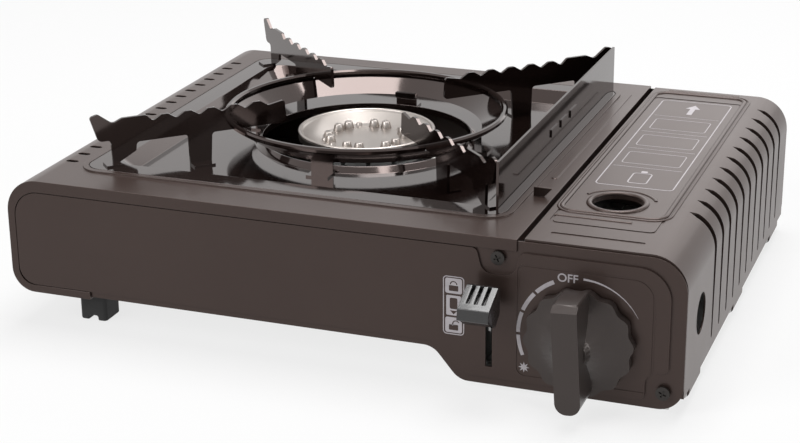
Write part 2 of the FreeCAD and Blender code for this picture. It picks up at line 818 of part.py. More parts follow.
def burner_bracket():
    """Strap that carries the bowl above the base."""
    width = 16.0
    half = bowl_r - 4
    low = base_top_z
    strap = box(tray_x - half, tray_x + half, tray_y - width / 2, tray_y + width / 2, bowl_z - sheet, bowl_z)
    legs = [strap]
    for side in (-1, 1):
        x = tray_x + side * half
        legs.append(box(min(x, x - side * sheet), max(x, x - side * sheet), tray_y - width / 2,
                        tray_y + width / 2, low, bowl_z))
        legs.append(box(min(x, x + side * 12), max(x, x + side * 12), tray_y - width / 2, tray_y + width / 2,
                        low, low + sheet))
    return fuse(legs)


def valve_body():
    """Die-cast valve block with a round boss for the stem."""
    x0 = dial_x - valve_width / 2
    z0 = dial_z - valve_height / 2
    y0 = front_y + valve_front_gap
    block = box(x0, x0 + valve_width, y0, y0 + valve_depth, z0, z0 + valve_height)
    block = block.makeFillet(2.5, [e for e in block.Edges if e.BoundBox.YLength > valve_depth - 1])
    boss = rod(dial_x, plate_front_y + sheet, dial_z, V(0, 1, 0), 9, valve_front_gap)
    bore = rod(dial_x, front_y - 1, dial_z, V(0, 1, 0), stem_r + run_gap, valve_front_gap + 14)
    return block.fuse(boss).cut(bore).removeSplitter()


def valve_stem():
    start = front_y - knob_reach + 8
    end = front_y + valve_front_gap + 12
    return rod(dial_x, start, dial_z, V(0, 1, 0), stem_r, end - start)


def regulator():
    """Round diaphragm housing between the valve and the cartridge seat."""
    y0 = front_y + valve_front_gap + valve_depth
    y1 = seat_y - 6
    centre = V(cartridge_x, y0, cartridge_z)
    length = y1 - y0
    body = turned([(0, 0, 0), (regulator_r - 6, 0, 0), (regulator_r - 6, 6, 0), (regulator_r, 7, 0),
                   (regulator_r, 11, 0), (regulator_r - 7, 13, 0), (regulator_r - 9, length, 0),
                   (0, length, 0)], centre, V(0, 1, 0))
    return body


def cartridge_seat():
    """Ring that the cartridge's collar is pressed against, with its alignment lug."""
    centre = V(cartridge_x, seat_y - 6, cartridge_z)
    ring = turned([(5, 0, 0), (17, 0, 0), (17, 5.3, 0), (16.3, 6, 0), (13, 6, 0), (13, 2.5, 0), (5, 2.5, 0)], centre,
                  V(0, 1, 0))
    lug = box(cartridge_x - 2.5, cartridge_x + 2.5, seat_y - 3, seat_y + 4, cartridge_z + 13.5,
              cartridge_z + 17)
    return ring.fuse(lug).removeSplitter()


def knob_edge():
    """Wavy outline of the knob's disc, in short flats."""
    points = []
    steps = knob_waves * 6
    for i in range(steps + 1):
        angle = 2 * math.pi * i / steps
        r = knob_disc_r - knob_wave_depth * (1 - math.cos(angle * knob_waves)) / 2
        points.append(V(r * math.cos(angle), 0, r * math.sin(angle)))
    points[-1] = points[0]
    return Part.makePolygon(points)


def control_knob():
    """Wavy disc, hollowed cone up to a thick grip bar, and a bore for the stem."""
    back = front_y - knob_gap
    disc = Part.Face(knob_edge()).extrude(V(0, -knob_disc, 0))
    face = -(knob_reach - knob_gap)
    slope_points = [(0, 2, 0), (knob_disc_r - 3, 2, 0), (knob_disc_r - 3, knob_disc, 0),
                    (knob_hub_r + 3, knob_disc + 1.2, 0), (knob_hub_r - 2, knob_disc + 4, 0),
                    (grip_width / 2 + 2.5, knob_disc + 8, 0), (grip_width / 2 + 1, 17, 0), (0, 17, 0)]
    cone = turned(slope_points, V(0, 0, 0), V(0, -1, 0))
    w = grip_width / 2
    bar = plate("XZ", [(-w, -grip_half, w - 0.6), (w, -grip_half, w - 0.6), (w, grip_half, 1.2),
                       (-w, grip_half, 1.2)], -knob_disc + 1, face + knob_disc - 1)
    slope = plate("YZ", [(face - 1, grip_half - 3.6, 0), (face - 1, grip_half + 1, 0),
                         (face + 5, grip_half + 1, 0)], -20, 40)
    knob = fuse([disc, cone, bar]).cut(slope)
    bore = Part.makeCylinder(stem_r + run_gap, 19, V(0, 1, 0), V(0, -1, 0))
    knob = knob.cut(bore)
    knob.rotate(V(0, 0, 0), V(0, -1, 0), knob_rest_turn)
    knob.translate(V(dial_x, back, dial_z))
    return knob


def piezo_igniter():
    """Spring igniter block fixed beside the valve."""
    x1 = dial_x - valve_width / 2
    y0 = front_y + valve_front_gap
    body = box(x1 - 13, x1, y0, y0 + 12, dial_z - 10, dial_z + 2)
    barrel = rod(x1 - 6.5, y0 + 6, dial_z - 14, V(0, 0, 1), 4.5, 26)
    return fuse([body, barrel])


def lead_points():
    x1 = dial_x - valve_width / 2
    y0 = front_y + valve_front_gap
    spot = electrode_spot()
    return [V(x1 - 6.5, y0 + 6, dial_z + 12), V(x1 - 6.5, y0 + 6, lead_z), V(x1 - 18, lead_y, lead_z),
            V(partition_x - 10, lead_y, lead_z), V(partition_x - 20, lead_y + 10, lead_low_z),
            V(spot.x + 12, spot.y - 12, lead_low_z), V(spot.x, spot.y, lead_low_z), V(spot.x, spot.y, 40)]


def electrode_spot():
    angle = math.radians(electrode_angle)
    reach = cap_r + 5
    return V(tray_x + reach * math.cos(angle), tray_y + reach * math.sin(angle), 0)


def igniter_lead():
    return bent_rod(lead_points(), lead_r, 4.0)


def spark_electrode():
    """Ceramic post with a metal tip beside the burner head, and the tab that holds it."""
    spot = electrode_spot()
    post = rod(spot.x, spot.y, 40, V(0, 0, 1), 3.2, 26)
    collar = rod(spot.x, spot.y, 50, V(0, 0, 1), 4.4, 4)
    return post.fuse(collar)


def electrode_tip():
    spot = electrode_spot()
    inward = V(tray_x - spot.x, tray_y - spot.y, 0)
    inward.normalize()
    first = V(spot.x, spot.y, 66)
    return bent_rod([first, V(spot.x, spot.y, 74), V(spot.x, spot.y, 74) + inward * 3.6], 0.9, 1.6)


def electrode_tab():
    """Clip from the bowl's side to the ceramic post."""
    spot = electrode_spot()
    way = V(spot.x - tray_x, spot.y - tray_y, 0)
    way.normalize()
    start = bowl_r - 0.2
    reach = cap_r + 5
    tab = box(start, reach + 6, -6, 6, 54, 55.2)
    tab.rotate(V(0, 0, 0), V(0, 0, 1), electrode_angle)
    tab.translate(V(tray_x, tray_y, 0))
    bowl = rod(tray_x, tray_y, bowl_z, V(0, 0, 1), bowl_r, 40)
    return tab.cut([rod(spot.x, spot.y, 40, V(0, 0, 1), 3.2, 30), bowl])


def swing(z_along, y_along, turn):
    """Point at (y, z) offsets from the lever's pivot, turned about it."""
    c, s = math.cos(turn), math.sin(turn)
    return lever_pivot_y + y_along * c - z_along * s, lever_pivot_z + y_along * s + z_along * c


def crank_spot():
    return swing(crank_length, 0, -lever_sweep / 2)


def lock_lever():
    """Flat steel bell crank: the long arm reaches out through the panel's slot, the short one drives the sled."""
    x = lever_x - lever_sheet / 2
    cy, cz = crank_spot()
    arm_low = [(lever_pivot_y + 6, lever_pivot_z - 7, 5), (lever_pivot_y + 7, lever_pivot_z + 4, 4),
               (cy + 5, cz - 2, 3), (cy + 4.5, cz + 5, 4), (cy - 5, cz + 5, 4), (cy - 6, cz - 4, 6),
               (front_y + 8, 48.5, 8), (thumb_back_y - 9, 50.0, 1), (thumb_back_y - 9, 44.0, 1),
               (front_y + 4, 41.0, 6), (lever_pivot_y - 8, lever_pivot_z - 7, 5)]
    body = plate("YZ", arm_low, x, lever_sheet)
    pivot = rod(x - 1, lever_pivot_y, lever_pivot_z, V(1, 0, 0), lever_pin_r + run_gap, 4)
    crank = rod(x - 1, cy, cz, V(1, 0, 0), 1.5, 4)
    return cut(body, [pivot, crank])


def crank_pin():
    cy, cz = crank_spot()
    return rod(lever_x - lever_sheet / 2, cy, cz, V(1, 0, 0), 1.5, 5.0)


def lever_thumb():
    """Moulded thumb piece: sloping ribbed top and a lip in front, pushed onto the lever."""
    x0 = lever_x - thumb_width / 2
    side = [(thumb_back_y, 44.0, 2), (thumb_back_y, 57.0, 1.5), (thumb_back_y - 3, 57.5, 1),
            (thumb_front_y + 1, 51.0, 0.8), (thumb_front_y, 45.5, 0.8), (thumb_front_y + 4, 44.0, 1),
            (thumb_back_y - 7, 39.0, 3)]
    body = plate("YZ", side, x0, thumb_width)
    grooves = []
    for i in range(3):
        gx = x0 + thumb_width * (i + 1) / 4
        grooves.append(plate("YZ", [(thumb_back_y - 2.5, 60, 0), (thumb_back_y - 2.5, 53.5, 1),
                                    (thumb_front_y + 4.5, 50.0, 1), (thumb_front_y + 4.5, 60, 0)],
                             gx - 0.9, 1.8))
    return body.cut(grooves).cut(lock_lever())


def lever_pivot_pin():
    end = lever_x + lever_sheet / 2 + fit_gap
    start = bracket_x
    shaft = rod(start, lever_pivot_y, lever_pivot_z, V(1, 0, 0), lever_pin_r, end - start)
    head = rod(end, lever_pivot_y, lever_pivot_z, V(1, 0, 0), lever_pin_r + 1.2, 0.8)
    return shaft.fuse(head)


def lever_bracket():
    """Upright on the bay floor that carries the lever's pivot pin."""
    y0 = lever_pivot_y - 9
    y1 = lever_pivot_y + 9
    floor = bay_top_z + sheet
    wall = plate("YZ", [(y0 - 3, floor, 0), (y0, lever_pivot_z + 7, 5), (y1, lever_pivot_z + 7, 5),
                        (y1 + 3, floor, 0)], bracket_x, 1.2)
    foot = box(bracket_x - 3.4, bracket_x + 1.2, y0 - 3, y1 + 3, floor, floor + 1.2)
    hole = rod(bracket_x - 1, lever_pivot_y, lever_pivot_z, V(1, 0, 0), lever_pin_r, 4)
    return fuse([wall, foot]).cut(hole)


def cartridge_carriage():
    """Sled under the cartridge: curved floor strip, upright pusher behind, slotted arm to the lever in front."""
    low = bay_top_z + fit_gap
    top = low + 1.0
    y0 = seat_y + travel + 6
    y1 = seat_y + cartridge_length + travel + 3
    deck = box(cartridge_x - 16, cartridge_x + 16, y0, y1, low, top)
    pusher = plate("XZ", [(cartridge_x - 16, low, 0), (cartridge_x + 16, low, 0), (cartridge_x + 13, 46, 8),
                          (cartridge_x - 13, 46, 8)], y1 - 1.2, 1.2)
    cy, cz = crank_spot()
    arm_x = lever_x + lever_sheet / 2 + 1.8
    runner = box(arm_x, cartridge_x - 15, y0, y0 + 16, low, top)
    strip = box(arm_x, arm_x + 12, cy - 5, y0 + 16, low, top)
    upright = box(arm_x, arm_x + 1.2, cy - 5, cy + 5, low, cz + 6)
    slot = box(arm_x - 1, arm_x + 3, cy - 1.5 - run_gap * 2, cy + 1.5 + run_gap * 2, cz - 3, cz + 3)
    return fuse([deck, pusher, runner, strip, upright]).cut(slot)


def cartridge_clip():
    """Sprung strip on the sled that steadies the cartridge's rim."""
    base = bay_top_z + fit_gap + 1.0
    y1 = seat_y + cartridge_length + travel + 1.8
    strip = box(cartridge_x - 6, cartridge_x + 6, y1 - 24, y1, base, base + 0.6)
    back = box(cartridge_x - 6, cartridge_x + 6, y1 - 0.6, y1, base, 30)
    return fuse([strip, back])


def left_foot(y):
    """Moulded foot with a notch across its sole."""
    half = foot_width / 2
    block = box(foot_x - half, foot_x + half, y - half, y + half, 0, burner_floor_z)
    edges = [e for e in block.Edges if e.BoundBox.ZLength > burner_floor_z - 1]
    block = block.makeFillet(2, edges)
    notch = box(foot_x - 2.5, foot_x + 2.5, y - half - 1, y + half + 1, -1, 2.5)
    return block.cut(notch)


def right_foot(x, y):
    return turned([(0, 0, 0), (pad_r - 1, 0, 0), (pad_r, 1, 0), (pad_r, bay_floor_z, 0), (0, bay_floor_z, 0)], V(x, y, 0))


def build():
    os.makedirs("parts", exist_ok=True)
    save("body_shell", body_shell())
    save("front_panel", front_panel())
    save("rear_panel", rear_panel())
    save("base_plate", base_plate())
    save("partition", partition())
    save("hinge_brackets", hinge_brackets())
    save("cover_hinge_pin", cover_hinge_pin())
    save("cartridge_cover", cartridge_cover())
    save("drip_tray", drip_tray())
    save("wind_ring", wind_ring())
    save("pan_arm_front_left", arm(-135))
    save("pan_arm_rear_left", arm(135))
    save("heat_shield", heat_shield())
    save("burner_cap", burner_cap())
    save("burner_head", burner_head())
    save("burner_bowl", burner_bowl())
    save("burner_bracket", burner_bracket())
    save("mixing_tube", mixing_tube())
    save("gas_pipe", gas_pipe())
    save("gas_nozzle", gas_nozzle())
    save("valve_body", valve_body())
    save("valve_stem", valve_stem())
    save("regulator", regulator())
    save("cartridge_seat", cartridge_seat())
    save("control_knob", control_knob())
    save("piezo_igniter", piezo_igniter())
    save("igniter_lead", igniter_lead())
    save("spark_electrode", spark_electrode())
    save("electrode_tip", electrode_tip())
    save("electrode_tab", electrode_tab())
    save("lock_lever", lock_lever())
    save("crank_pin", crank_pin())
    save("lever_thumb", lever_thumb())
    save("lever_pivot_pin", lever_pivot_pin())
    save("lever_bracket", lever_bracket())
    save("cartridge_carriage", cartridge_carriage())
    save("cartridge_clip", cartridge_clip())
    save("left_feet", Part.makeCompound([left_foot(-foot_y), left_foot(foot_y)]))
    save("right_feet", Part.makeCompound([right_foot(pad_x, -foot_y), right_foot(pad_x, foot_y)]))
    front = [panel_screw(x, z, panel_seat_y(x, -1), -1) for x, z in front_screws]
    rear = [panel_screw(x, z, panel_seat_y(x, 1), 1) for x, z in rear_screws]
    save("front_screws", Part.makeCompound(front))
    save("rear_screws", Part.makeCompound(rear))


def panel_seat_y(x, outward):
    """Face that a screw's head rests on: the raised field at the left, the plate beside it elsewhere."""
    return outward * (half_d if x < 0 else half_d - panel_emboss)


build()
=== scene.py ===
import bpy
import json
import math
from mathutils import Matrix, Vector


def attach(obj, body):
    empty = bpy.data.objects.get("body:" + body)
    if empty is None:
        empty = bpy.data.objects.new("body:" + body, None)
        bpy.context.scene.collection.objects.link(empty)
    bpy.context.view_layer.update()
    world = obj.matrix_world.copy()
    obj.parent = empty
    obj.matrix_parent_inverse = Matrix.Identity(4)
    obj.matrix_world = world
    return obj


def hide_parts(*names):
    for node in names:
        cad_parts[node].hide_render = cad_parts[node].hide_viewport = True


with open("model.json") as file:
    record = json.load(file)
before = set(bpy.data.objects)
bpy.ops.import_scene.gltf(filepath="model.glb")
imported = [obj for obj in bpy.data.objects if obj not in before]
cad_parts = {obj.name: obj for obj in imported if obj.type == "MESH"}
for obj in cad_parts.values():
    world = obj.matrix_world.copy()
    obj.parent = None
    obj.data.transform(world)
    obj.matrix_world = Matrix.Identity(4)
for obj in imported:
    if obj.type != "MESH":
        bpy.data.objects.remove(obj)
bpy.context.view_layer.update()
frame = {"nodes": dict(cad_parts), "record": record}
nodes = frame["nodes"]
print("frame loaded:", len(nodes), "nodes")

mm = 0.001
bodyShift = 0.01235  # the middle of the body lies this far behind the model's origin


def deselectAll():
    bpy.ops.object.select_all(action="DESELECT")


def takeActive(obj):
    deselectAll()
    obj.select_set(True)
    bpy.context.view_layer.objects.active = obj
    return obj


def applyPlace(obj):
    takeActive(obj)
    bpy.ops.object.transform_apply(location=True, rotation=True, scale=True)
    return obj


def applyModifiers(obj):
    takeActive(obj)
    for modifier in list(obj.modifiers):
        bpy.ops.object.modifier_apply(modifier=modifier.name)
    return obj


def addBevel(obj, width, segments, angle):
    bevel = obj.modifiers.new("soft", "BEVEL")
    bevel.width = width * mm
    bevel.segments = segments
    bevel.limit_method = "ANGLE"
    bevel.angle_limit = math.radians(angle)
    return bevel


def joinAll(pieces):
    takeActive(pieces[0])
    for piece in pieces[1:]:
        piece.select_set(True)
    bpy.ops.object.join()
    return bpy.context.object


def insetTop(obj, steps):
    # the faces that look up are set in and then raised or sunk, step by step
    for face in obj.data.polygons:
        face.select = face.normal.z > 0.9
    bpy.ops.object.mode_set(mode="EDIT")
    for inset, rise in steps:
        bpy.ops.mesh.inset(thickness=inset * mm)
        bpy.ops.transform.translate(value=(0, 0, rise * mm))
    bpy.ops.object.mode_set(mode="OBJECT")


def curveMesh(name, loops, closed, **shape):
    # lines in X and Y as one mesh, where shape holds the curve's own settings
    outline = bpy.data.curves.new(name, "CURVE")
    for setting, value in shape.items():
        setattr(outline, setting, value)
    for loop in loops:
        spline = outline.splines.new("POLY")
        spline.points.add(len(loop) - 1)
        for point, place in zip(spline.points, loop):
            point.co = (*place, 0, 1)
        spline.use_cyclic_u = closed
    obj = bpy.data.objects.new(name, outline)
    bpy.context.collection.objects.link(obj)
    takeActive(obj)
    bpy.ops.object.convert(target="MESH")
    return bpy.context.object


def finishPiece(obj, name, body, material, standsFor=None):
    obj.name = name
    obj.data.name = name
    obj.data.materials.clear()
    obj.data.materials.append(material)
    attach(obj, body)
    if standsFor:
        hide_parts(standsFor)
    return obj


# shader groups that the materials share

def addNode(tree, kind, operation=None, inputs=None):
    node = tree.nodes.new(kind)
    if operation:
        node.operation = operation
    for socket, value in (inputs or {}).items():
        node.inputs[socket].default_value = value
    return node


def linkAll(tree, pairs):
    for source, target in pairs:
        tree.links.new(source, target)


def newGroup(name, inputs, outputs):
    group = bpy.data.node_groups.new(name, "ShaderNodeTree")
    for label, kind, value in inputs:
        socket = group.interface.new_socket(name=label, in_out="INPUT", socket_type=kind)
        socket.default_value = value
    for label, kind in outputs:
        group.interface.new_socket(name=label, in_out="OUTPUT", socket_type=kind)
    return group, group.nodes.new("NodeGroupInput"), group.nodes.new("NodeGroupOutput")


grainLook = {"fineDetail": 2.0, "broadScale": 28.0, "broadDetail": 3.0, "middle": 0.5}


def makeGrainGroup():
    # fine orange peel of paint or the grain of moulded plastic, as a height and a roughness
    group, into, out = newGroup("surfaceGrain", [
        ("Size", "NodeSocketFloat", 900.0), ("Roughness", "NodeSocketFloat", 0.4),
        ("Spread", "NodeSocketFloat", 0.05)],
        [("Height", "NodeSocketFloat"), ("Roughness", "NodeSocketFloat")])
    coords = addNode(group, "ShaderNodeTexCoord")
    fine = addNode(group, "ShaderNodeTexNoise", inputs={"Detail": grainLook["fineDetail"]})
    broad = addNode(group, "ShaderNodeTexNoise",
                    inputs={"Scale": grainLook["broadScale"], "Detail": grainLook["broadDetail"]})
    centred = addNode(group, "ShaderNodeMath", "SUBTRACT", {1: grainLook["middle"]})
    scaled = addNode(group, "ShaderNodeMath", "MULTIPLY_ADD")
    linkAll(group, [
        (coords.outputs["Object"], fine.inputs["Vector"]),
        (coords.outputs["Object"], broad.inputs["Vector"]),
        (into.outputs["Size"], fine.inputs["Scale"]),
        (broad.outputs["Fac"], centred.inputs[0]),
        (centred.outputs[0], scaled.inputs[0]),
        (into.outputs["Spread"], scaled.inputs[1]),
        (into.outputs["Roughness"], scaled.inputs[2]),
        (fine.outputs["Fac"], out.inputs["Height"]),
        (scaled.outputs[0], out.inputs["Roughness"])])
    return group


toneLook = {"detail": 5.0, "roughness": 0.6, "from": 0.35, "to": 0.75}


def makeToneGroup():
    # slow change from a colour to its marked form over a surface
    group, into, out = newGroup("surfaceTone", [
        ("Colour", "NodeSocketColor", (0.1, 0.1, 0.1, 1)),
        ("Marked", "NodeSocketColor", (0.2, 0.2, 0.2, 1)),
        ("Amount", "NodeSocketFloat", 0.3), ("Size", "NodeSocketFloat", 12.0)],
        [("Colour", "NodeSocketColor")])
    coords = addNode(group, "ShaderNodeTexCoord")
    noise = addNode(group, "ShaderNodeTexNoise",
                    inputs={"Detail": toneLook["detail"], "Roughness": toneLook["roughness"]})
    ramp = addNode(group, "ShaderNodeMapRange",
                   inputs={"From Min": toneLook["from"], "From Max": toneLook["to"]})
    mask = addNode(group, "ShaderNodeMath", "MULTIPLY")
    mix = addNode(group, "ShaderNodeMix")
    mix.data_type = "RGBA"
    linkAll(group, [
        (coords.outputs["Object"], noise.inputs["Vector"]),
        (into.outputs["Size"], noise.inputs["Scale"]),
        (noise.outputs["Fac"], ramp.inputs["Value"]),
        (ramp.outputs["Result"], mask.inputs[0]),
        (into.outputs["Amount"], mask.inputs[1]),
        (mask.outputs[0], mix.inputs["Factor"]),
        (into.outputs["Colour"], mix.inputs["A"]),
        (into.outputs["Marked"], mix.inputs["B"]),
        (mix.outputs["Result"], out.inputs["Colour"])])
    return group


grainGroup = makeGrainGroup()
toneGroup = makeToneGroup()

plainLook = {"marks": 0.3, "markSize": 14.0, "grainSize": 900.0, "spread": 0.08, "bump": 0.15,
             "bumpDepth": 0.0002, "metallic": 0.0, "specular": 0.5, "glint": (1.0, 1.0, 1.0),
             "coat": 0.0, "coatRoughness": 0.05, "anisotropic": 0.0}


def newMaterial(name, colour, marked, roughness, **changes):
    look = {**plainLook, **changes}
    material = bpy.data.materials.new(name)
    material.use_nodes = True
    tree = material.node_tree
    shader = tree.nodes["Principled BSDF"]
    tone = tree.nodes.new("ShaderNodeGroup")
    tone.node_tree = toneGroup
    grain = tree.nodes.new("ShaderNodeGroup")
    grain.node_tree = grainGroup
    bump = tree.nodes.new("ShaderNodeBump")
    for node, label, value in (
            (tone, "Colour", (*colour, 1)),
            (tone, "Marked", (*marked, 1)),
            (tone, "Amount", look["marks"]),
            (tone, "Size", look["markSize"]),
            (grain, "Size", look["grainSize"]),
            (grain, "Roughness", roughness),
            (grain, "Spread", look["spread"]),
            (bump, "Strength", look["bump"]),
            (bump, "Distance", look["bumpDepth"]),
            (shader, "Metallic", look["metallic"]),
            (shader, "Specular IOR Level", look["specular"]),
            (shader, "Specular Tint", (*look["glint"], 1)),
            (shader, "Coat Weight", look["coat"]),
            (shader, "Coat Roughness", look["coatRoughness"]),
            (shader, "Anisotropic", look["anisotropic"])):
        node.inputs[label].default_value = value
    linkAll(tree, [
        (tone.outputs["Colour"], shader.inputs["Base Color"]),
        (grain.outputs["Roughness"], shader.inputs["Roughness"]),
        (grain.outputs["Height"], bump.inputs["Height"]),
        (bump.outputs["Normal"], shader.inputs["Normal"])])
    return material


bodyPaint = newMaterial("satinBrownPaint", (0.030, 0.0195, 0.0165), (0.038, 0.026, 0.022), 0.33,
                        metallic=0.1, marks=0.5, grainSize=1500.0, bump=0.04, coat=0.08,
                        coatRoughness=0.08, specular=0.45, glint=(1.0, 0.80, 0.75))
blackEnamel = newMaterial("blackEnamel", (0.006, 0.0035, 0.003), (0.010, 0.006, 0.005), 0.09,
                          marks=0.4, grainSize=120.0, bump=0.04, spread=0.05, coat=0.08,
                          coatRoughness=0.04, specular=0.8, glint=(1.0, 0.80, 0.75))
warmStainless = newMaterial("warmStainless", (0.40, 0.365, 0.34), (0.31, 0.28, 0.26), 0.3,
                            metallic=1.0, marks=0.6, grainSize=700.0, bump=0.05, anisotropic=0.3)
castAlloy = newMaterial("castAlloy", (0.42, 0.42, 0.42), (0.34, 0.34, 0.34), 0.5,
                        metallic=1.0, grainSize=1200.0, bump=0.4)
zincSheet = newMaterial("zincSheet", (0.55, 0.55, 0.54), (0.46, 0.46, 0.46), 0.34,
                        metallic=1.0, marks=0.7, markSize=60.0, grainSize=500.0)
knobPlastic = newMaterial("charcoalPlastic", (0.022, 0.017, 0.0155), (0.030, 0.024, 0.022), 0.33,
                          grainSize=2600.0, bump=0.15, marks=0.4, coat=0.1, coatRoughness=0.2,
                          glint=(1.0, 0.88, 0.84))
leverPlastic = newMaterial("blackPlastic", (0.010, 0.009, 0.009), (0.018, 0.016, 0.016), 0.24,
                           grainSize=2600.0, bump=0.1, coat=0.4)
footRubber = newMaterial("footRubber", (0.014, 0.014, 0.014), (0.03, 0.03, 0.03), 0.7,
                         grainSize=1500.0, bump=0.3)
turnedBrass = newMaterial("turnedBrass", (0.72, 0.52, 0.22), (0.60, 0.42, 0.18), 0.3, metallic=1.0)
glazedCeramic = newMaterial("glazedCeramic", (0.80, 0.78, 0.73), (0.70, 0.66, 0.58), 0.2, coat=0.6)
leadSilicone = newMaterial("leadSilicone", (0.42, 0.05, 0.04), (0.36, 0.05, 0.04), 0.5)
screwBlack = newMaterial("screwBlack", (0.030, 0.027, 0.025), (0.06, 0.05, 0.045), 0.35,
                         metallic=0.6)
igniterPlastic = newMaterial("igniterPlastic", (0.35, 0.33, 0.28), (0.30, 0.28, 0.24), 0.5)
whiteInk = newMaterial("whiteInk", (0.46, 0.43, 0.45), (0.34, 0.31, 0.33), 0.5, marks=0.5,
                       markSize=200.0)

slotMaterials = {
    "shell_paint": bodyPaint, "enamel": blackEnamel, "stainless": warmStainless,
    "cast_alloy": castAlloy, "zinc": zincSheet, "knob_plastic": knobPlastic,
    "lever_plastic": leverPlastic, "foot_plastic": footRubber, "brass": turnedBrass,
    "ceramic": glazedCeramic, "lead": leadSilicone, "screw_black": screwBlack,
    "igniter_plastic": igniterPlastic}
slotOfNode = {part["node"]: part["material_slot"] for part in frame["record"]["subparts"]}
bodyOfNode = {}
for bodyName, members in frame["record"]["behaviour"]["bodies"].items():
    for member in members:
        bodyOfNode[member] = bodyName

for nodeName, obj in nodes.items():
    for place in obj.material_slots:
        place.material = slotMaterials[slotOfNode[nodeName]]
print("materials set")


# eased edges on the pressed and moulded parts, with each radius in millimetres

edgeSettings = {
    "body_shell": 0.7, "front_panel": 0.35, "rear_panel": 0.35, "cartridge_cover": 0.35,
    "heat_shield": 0.5, "pan_arm_front_left": 0.5, "pan_arm_rear_left": 0.5, "control_knob": 1.1,
    "lever_thumb": 0.9, "drip_tray": 0.3, "left_feet": 0.8}
edgeLook = {"merge": 0.00001, "flatAngle": 0.6, "edgeAngle": 38, "smoothAngle": 32, "segments": 2,
            "weight": 100}


def roundedCopy(nodeName, width):
    # the node's own shape with its doubles merged and its sharp edges eased
    source = nodes[nodeName]
    copy = source.copy()
    copy.data = source.data.copy()
    bpy.context.collection.objects.link(copy)
    copy.parent = None
    copy.matrix_world = Matrix.Identity(4)
    takeActive(copy)
    bpy.ops.object.mode_set(mode="EDIT")
    bpy.ops.mesh.select_all(action="SELECT")
    bpy.ops.mesh.remove_doubles(threshold=edgeLook["merge"])
    bpy.ops.mesh.dissolve_limited(angle_limit=math.radians(edgeLook["flatAngle"]))
    bpy.ops.object.mode_set(mode="OBJECT")
    bevel = addBevel(copy, width, edgeLook["segments"], edgeLook["edgeAngle"])
    bevel.use_clamp_overlap = True
    bevel.miter_outer = "MITER_ARC"
    applyModifiers(copy)
    bpy.ops.object.shade_smooth_by_angle(angle=math.radians(edgeLook["smoothAngle"]))
    weighted = copy.modifiers.new("flatFaces", "WEIGHTED_NORMAL")
    weighted.weight = edgeLook["weight"]
    weighted.keep_sharp = True
    applyModifiers(copy)
    slot = slotOfNode[nodeName]
    return finishPiece(copy, nodeName + "_eased", bodyOfNode[nodeName], slotMaterials[slot],
                       nodeName)


for nodeName, width in edgeSettings.items():
    roundedCopy(nodeName, width)
print("edges eased")


# printing, as thin raised ink, in the millimetres of the body

inkLook = {"thick": 0.05, "lift": 0.02, "bold": 0.012, "frontY": -0.132 + bodyShift, "lidZ": 0.078}


def bandOf(centre, radius, widths, turns, steps=24):
    # closed outline of an arc whose width runs from one value to another
    outer, inner = [], []
    for i in range(steps + 1):
        part = i / steps
        angle = math.radians(turns[0] + (turns[1] - turns[0]) * part)
        half = (widths[0] + (widths[1] - widths[0]) * part) / 2
        for loop, r in ((outer, radius + half), (inner, radius - half)):
            loop.append((centre[0] + r * math.cos(angle), centre[1] + r * math.sin(angle)))
    return outer + inner[::-1]


def roundedLoop(x0, y0, x1, y1, r, steps=5):
    loop = []
    left, right, low, high = x0 + r, x1 - r, y0 + r, y1 - r
    for cx, cy, start in ((right, high, 0), (left, high, 90), (left, low, 180), (right, low, 270)):
        for i in range(steps + 1):
            angle = math.radians(start + 90 * i / steps)
            loop.append((cx + r * math.cos(angle), cy + r * math.sin(angle)))
    return loop


def frameLoops(x0, y0, x1, y1, r, inset):
    inner = roundedLoop(x0 + inset, y0 + inset, x1 - inset, y1 - inset, max(r - inset, 0.1))
    return [roundedLoop(x0, y0, x1, y1, r), inner]


def layFlat(obj, side, outward=0.0):
    # drawn in X and Y, then stood on the front plate or laid on the lid
    if side == "front":
        obj.rotation_euler = (math.radians(90), 0, 0)
        obj.location = (0, inkLook["frontY"] - (inkLook["lift"] + outward) * mm, 0)
    else:
        obj.location = (0, bodyShift, inkLook["lidZ"] + (inkLook["lift"] + outward) * mm)
    obj.scale = (mm, mm, mm)
    return applyPlace(obj)


def inkShapes(name, loops, side, body):
    obj = curveMesh(name, loops, True, dimensions="2D", fill_mode="BOTH",
                    extrude=inkLook["thick"] / 2)
    return finishPiece(layFlat(obj, side), name, body, whiteInk)


def inkText(name, words, place, size, side, body):
    deselectAll()
    bpy.ops.object.text_add()
    text = bpy.context.object
    text.data.body = words
    text.data.size = size
    text.data.align_x = "CENTER"
    text.data.align_y = "CENTER"
    text.data.extrude = inkLook["thick"] / 2
    text.data.offset = size * inkLook["bold"]
    takeActive(text)
    bpy.ops.object.convert(target="MESH")
    obj = bpy.context.object
    obj.location = (*place, 0)
    applyPlace(obj)
    return finishPiece(layFlat(obj, side), name, body, whiteInk)


dialPrint = {
    "centre": (125.0, 33.0), "radius": 29.8, "segments": 4, "start": 115.0, "end": 204.0, "gap": 2.6,
    "widths": (2.0, 1.7), "fade": (89.0, 28.0), "fadeWidths": (1.0, 0.1), "offPlace": (118.2, 62.2),
    "offSize": 5.6, "sparkPlace": (98.2, 15.4), "sparkPoints": 16, "sparkRadii": (2.7, 1.2)}


